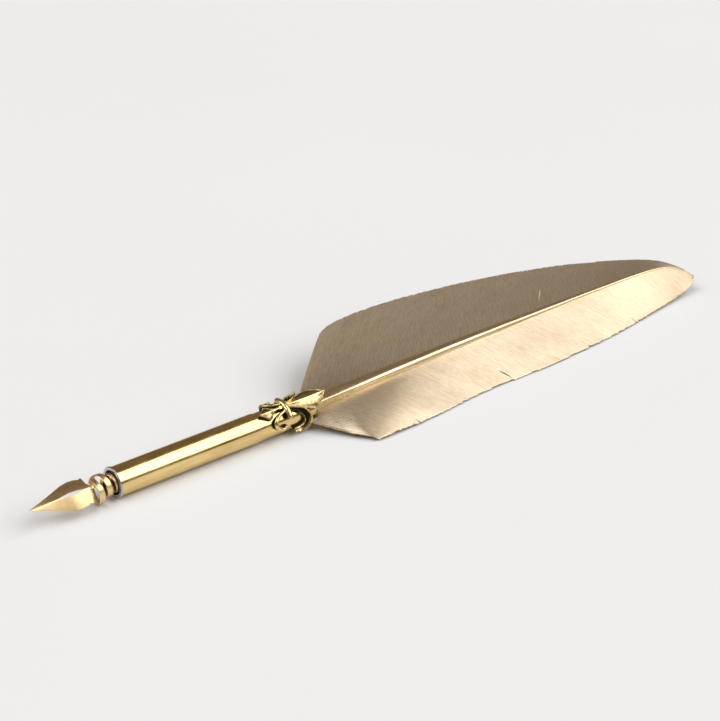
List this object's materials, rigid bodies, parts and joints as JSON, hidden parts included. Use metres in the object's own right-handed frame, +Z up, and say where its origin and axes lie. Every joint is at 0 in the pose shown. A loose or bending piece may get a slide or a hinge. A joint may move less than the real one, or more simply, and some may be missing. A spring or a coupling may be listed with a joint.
{
  "type": "feather dip pen",
  "caption": "Feather dip pen with a leaf-shaped nib on a spiral shank, a round metal barrel, a cast ornament and a gilded quill feather.",
  "frame": {"origin": "centre of the barrel's mouth, on the barrel's axis", "axes": "+X along the barrel's axis from the nib to the feather, +Z up as the pen lies on a table, +Y towards the raised vane"},
  "size_m": [0.2254, 0.0449, 0.0126],
  "materials": {
    "gilt_nib": "polished gilt sheet",
    "steel": "turned and polished",
    "spring_steel": "plain spring steel",
    "polished_brass": "polished with faint drawn lines",
    "bush_wood": "plain turned hardwood",
    "set_glue": "set epoxy",
    "gilded_quill": "metallic gold paint over horn",
    "gilded_barbs": "metallic gold paint over fine barbs",
    "antique_brass": "cast, blackened and rubbed back"
  },
  "bodies": {
    "holder": {"barrel_tube": "polished_brass", "mouth_ferrule": "steel", "nib_clip": "spring_steel", "feather_bush": "bush_wood", "quill_glue": "set_glue", "quill_shaft": "gilded_quill", "near_vane": "gilded_barbs", "far_vane": "gilded_barbs", "fleur_ornament": "antique_brass"},
    "nib": {"nib": "gilt_nib"}
  },
  "joints": [
    {"name": "nib_pull", "type": "slide", "parent": "holder", "child": "nib", "axis": [-1, 0, 0], "range_m": [0, 0.025]}
  ]
}
